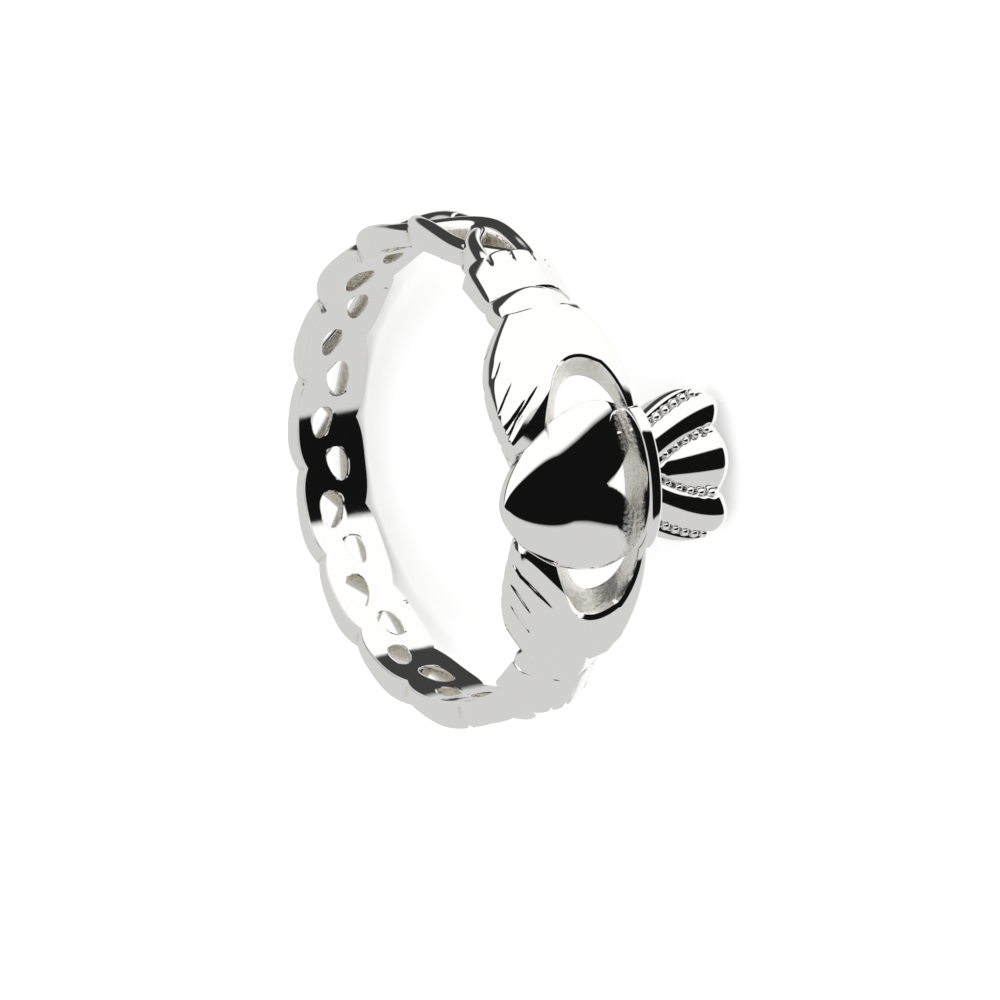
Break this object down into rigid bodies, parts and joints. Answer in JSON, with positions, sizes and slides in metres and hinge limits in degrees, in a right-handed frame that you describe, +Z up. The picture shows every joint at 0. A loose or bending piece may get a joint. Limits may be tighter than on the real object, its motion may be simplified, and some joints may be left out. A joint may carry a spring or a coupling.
{
  "type": "ring",
  "caption": "Silver claddagh finger ring: cuffed hands hold a crowned heart with a domed polished face, on a pierced plaited band.",
  "frame": {"origin": "on the surface that the ring lies on, under the middle of its length and width; the finger hole's centre is 3.6 mm above it", "axes": "+X from the back of the band to the heart, +Y along the head from one hand to the other, +Z up from the surface; the crown points down and touches the surface with the back of the band, so the finger hole's axis leans 13.5 degrees back from +Z"},
  "size_m": [0.0206, 0.0196, 0.0097],
  "materials": {
    "silver": "polished"
  },
  "bodies": {
    "root": {"ring": "silver"}
  },
  "joints": []
}
